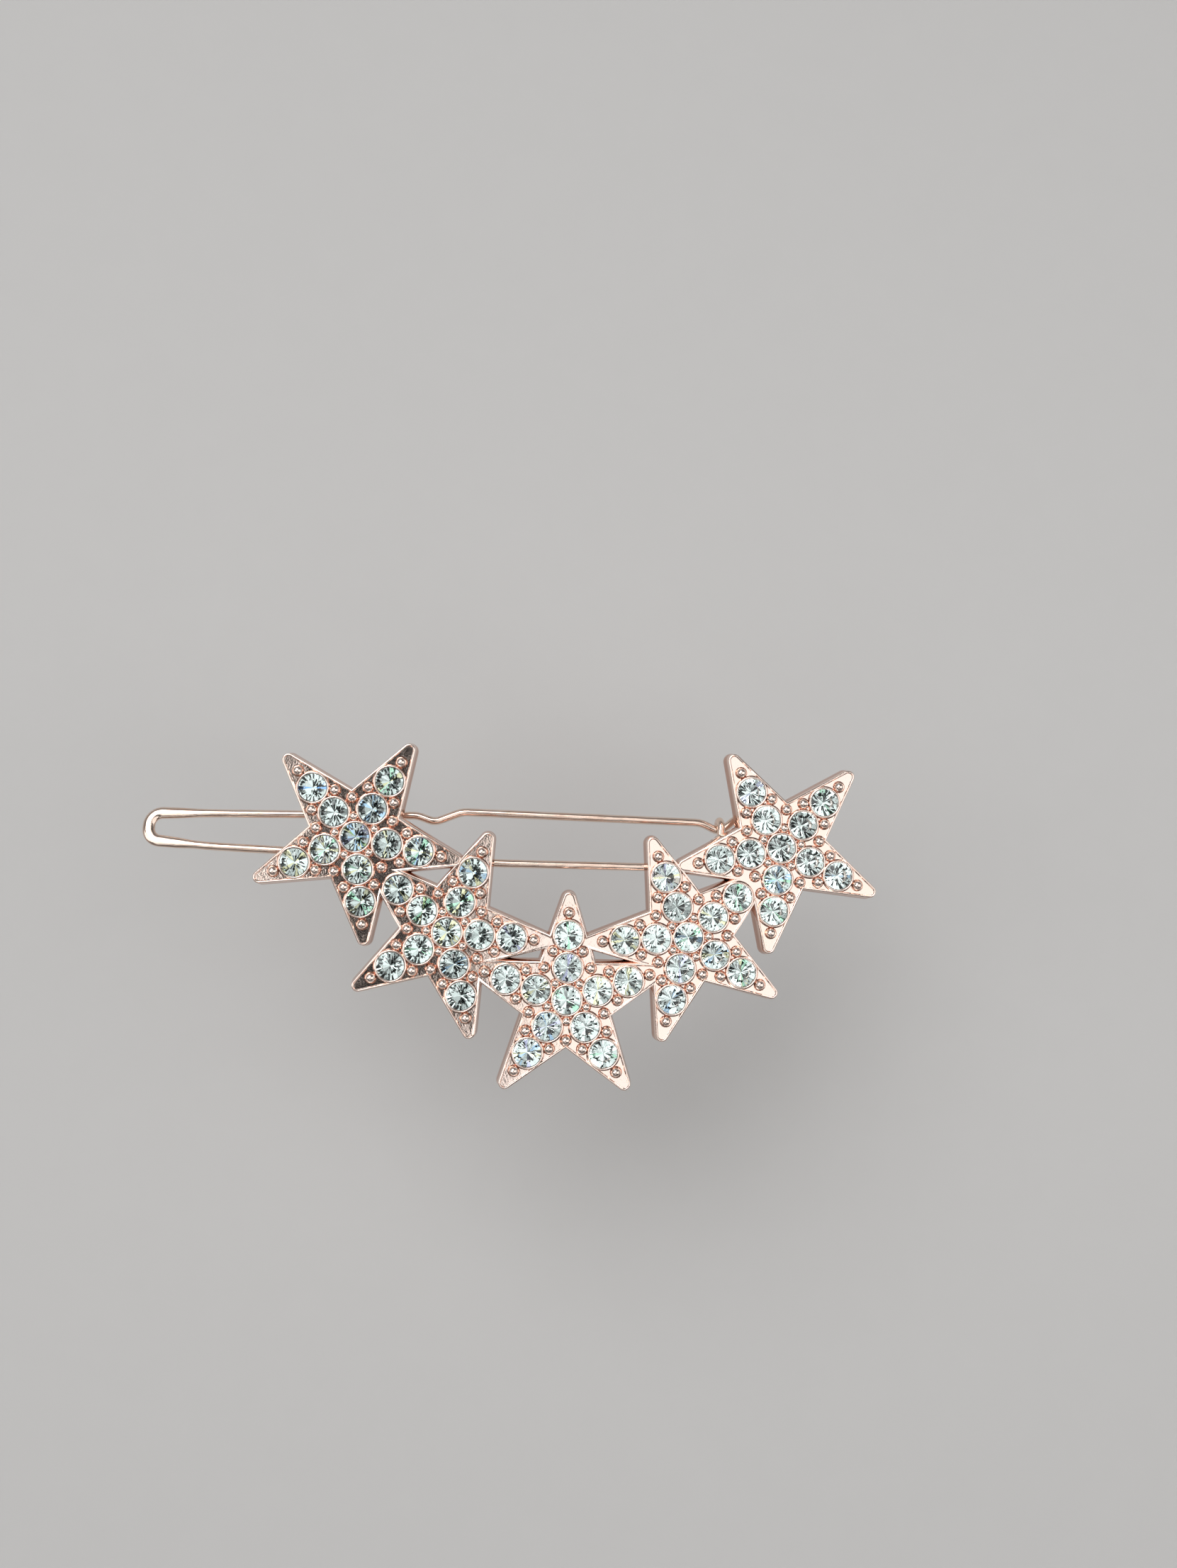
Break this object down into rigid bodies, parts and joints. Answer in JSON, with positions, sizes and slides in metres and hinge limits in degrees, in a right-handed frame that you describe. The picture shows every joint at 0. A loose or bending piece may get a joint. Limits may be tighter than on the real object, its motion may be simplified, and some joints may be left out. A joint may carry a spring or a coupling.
{
  "type": "rhinestone hair clip",
  "caption": "Crescent hair clip: a cast plate of overlapping stars set with round faceted stones and small beads, on a bent spring wire whose free arm swings out of a curled hook.",
  "frame": {"origin": "on the surface the clip lies on, below the middle of its outline", "axes": "+Z out of the stone-set face, +X along the wire from its closed end to the hook, +Y from the fixed arm to the free arm"},
  "size_m": [0.0636, 0.0292, 0.0042],
  "materials": {
    "cast_plating": "rose gold plating over a fine-grained casting, polished",
    "wire_plating": "rose gold plated spring wire, polished",
    "crystal": "clear cut glass with a mirror foil on the back",
    "solder": "satin solder",
    "clear_glue": "cured clear glue"
  },
  "bodies": {
    "ornament": {"star_plate": "cast_plating", "fixed_arm": "wire_plating", "solder_joints": "solder", "stone_glue": "clear_glue", "stone_1_centre": "crystal", "stone_1_inner_1": "crystal", "stone_1_inner_2": "crystal", "stone_1_inner_3": "crystal", "stone_1_inner_4": "crystal", "stone_1_inner_5": "crystal", "stone_1_outer_1": "crystal", "stone_1_outer_2": "crystal", "stone_1_outer_3": "crystal", "stone_1_outer_4": "crystal", "stone_1_outer_5": "crystal", "stone_2_centre": "crystal", "stone_2_inner_1": "crystal", "stone_2_inner_2": "crystal", "stone_2_inner_3": "crystal", "stone_2_inner_4": "crystal", "stone_2_inner_5": "crystal", "stone_2_outer_1": "crystal", "stone_2_outer_2": "crystal", "stone_2_outer_3": "crystal", "stone_2_outer_4": "crystal", "stone_2_outer_5": "crystal", "stone_3_centre": "crystal", "stone_3_inner_1": "crystal", "stone_3_inner_2": "crystal", "stone_3_inner_3": "crystal", "stone_3_inner_4": "crystal", "stone_3_inner_5": "crystal", "stone_3_outer_1": "crystal", "stone_3_outer_2": "crystal", "stone_3_outer_3": "crystal", "stone_3_outer_4": "crystal", "stone_3_outer_5": "crystal", "stone_4_centre": "crystal", "stone_4_inner_1": "crystal", "stone_4_inner_2": "crystal", "stone_4_inner_3": "crystal", "stone_4_inner_4": "crystal", "stone_4_inner_5": "crystal", "stone_4_outer_1": "crystal", "stone_4_outer_2": "crystal", "stone_4_outer_3": "crystal", "stone_4_outer_4": "crystal", "stone_4_outer_5": "crystal", "stone_5_centre": "crystal", "stone_5_inner_1": "crystal", "stone_5_inner_2": "crystal", "stone_5_inner_3": "crystal", "stone_5_inner_4": "crystal", "stone_5_inner_5": "crystal", "stone_5_outer_1": "crystal", "stone_5_outer_2": "crystal", "stone_5_outer_3": "crystal", "stone_5_outer_4": "crystal", "stone_5_outer_5": "crystal"},
    "free_arm": {"free_arm": "wire_plating"}
  },
  "joints": [
    {"name": "free_arm_swing", "type": "hinge", "parent": "ornament", "child": "free_arm", "pos_m": [-0.03146, 0.00692, 0.0012], "axis": [0, 0.9703, -0.2419], "range_deg": [0, 30], "stiffness_Nm_per_rad": 0.14}
  ]
}
